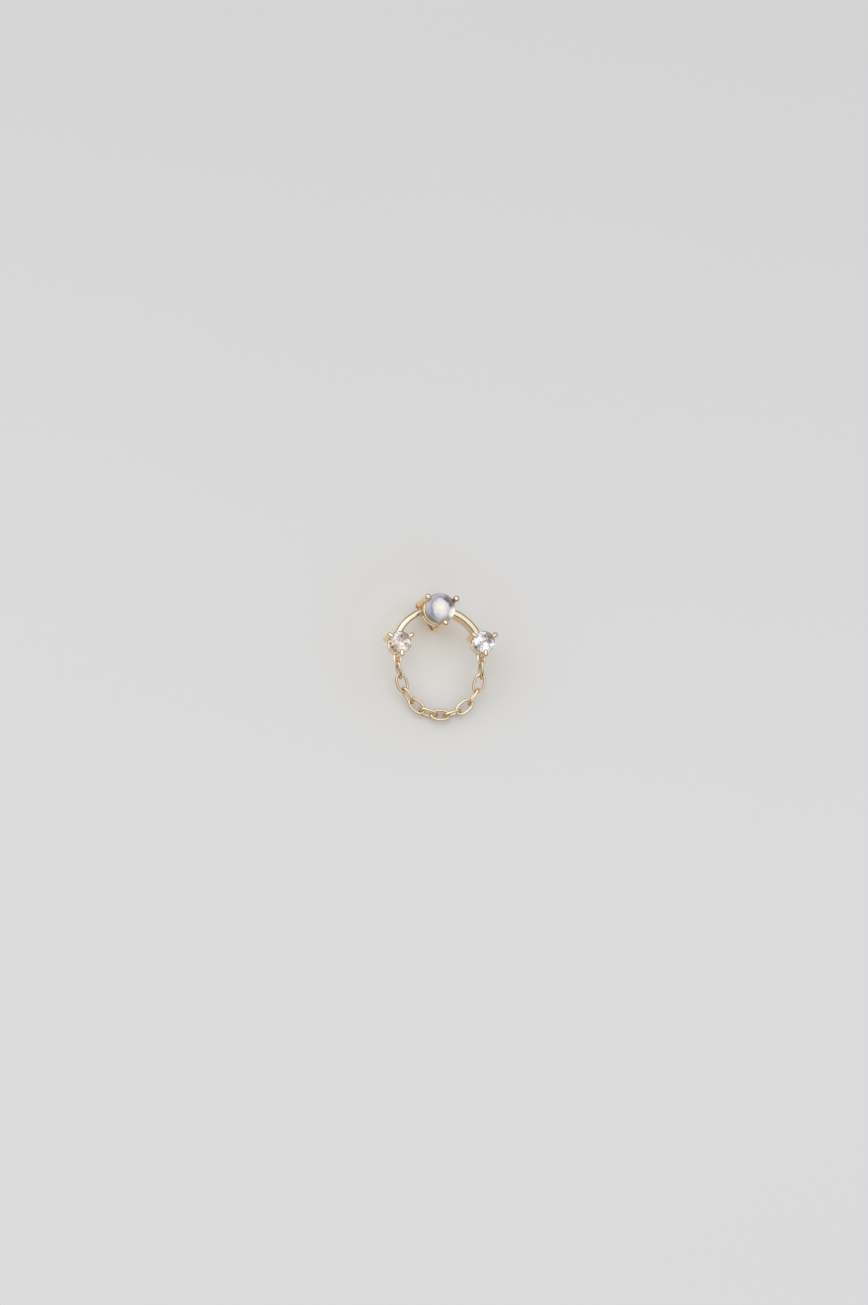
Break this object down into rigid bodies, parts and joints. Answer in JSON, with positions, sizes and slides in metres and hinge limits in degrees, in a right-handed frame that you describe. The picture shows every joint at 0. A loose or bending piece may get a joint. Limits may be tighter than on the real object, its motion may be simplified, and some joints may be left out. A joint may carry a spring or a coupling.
{
  "type": "chain drop stud earring",
  "caption": "Stud earring: a gold arc with a round cabochon between faceted stones in prongs, closed by a hanging cable chain, with a push-on clutch.",
  "frame": {"origin": "on the surface that the earring rests on, below the middle of its box", "axes": "+Z out of the face and up from the surface, +Y from the chain to the largest stone, +X to the viewer's right"},
  "size_m": [0.0112, 0.0126, 0.0055],
  "materials": {
    "gold": "polished",
    "moonstone": "polished",
    "champagne_stone": "faceted",
    "white_stone": "faceted"
  },
  "bodies": {
    "root": {"setting_arc": "gold", "stone_top": "moonstone", "stone_left": "champagne_stone", "stone_right": "white_stone", "clutch": "gold", "link_01": "gold", "link_02": "gold", "link_03": "gold", "link_04": "gold", "link_05": "gold", "link_06": "gold", "link_07": "gold", "link_08": "gold", "link_09": "gold", "link_10": "gold", "link_11": "gold"}
  },
  "joints": []
}
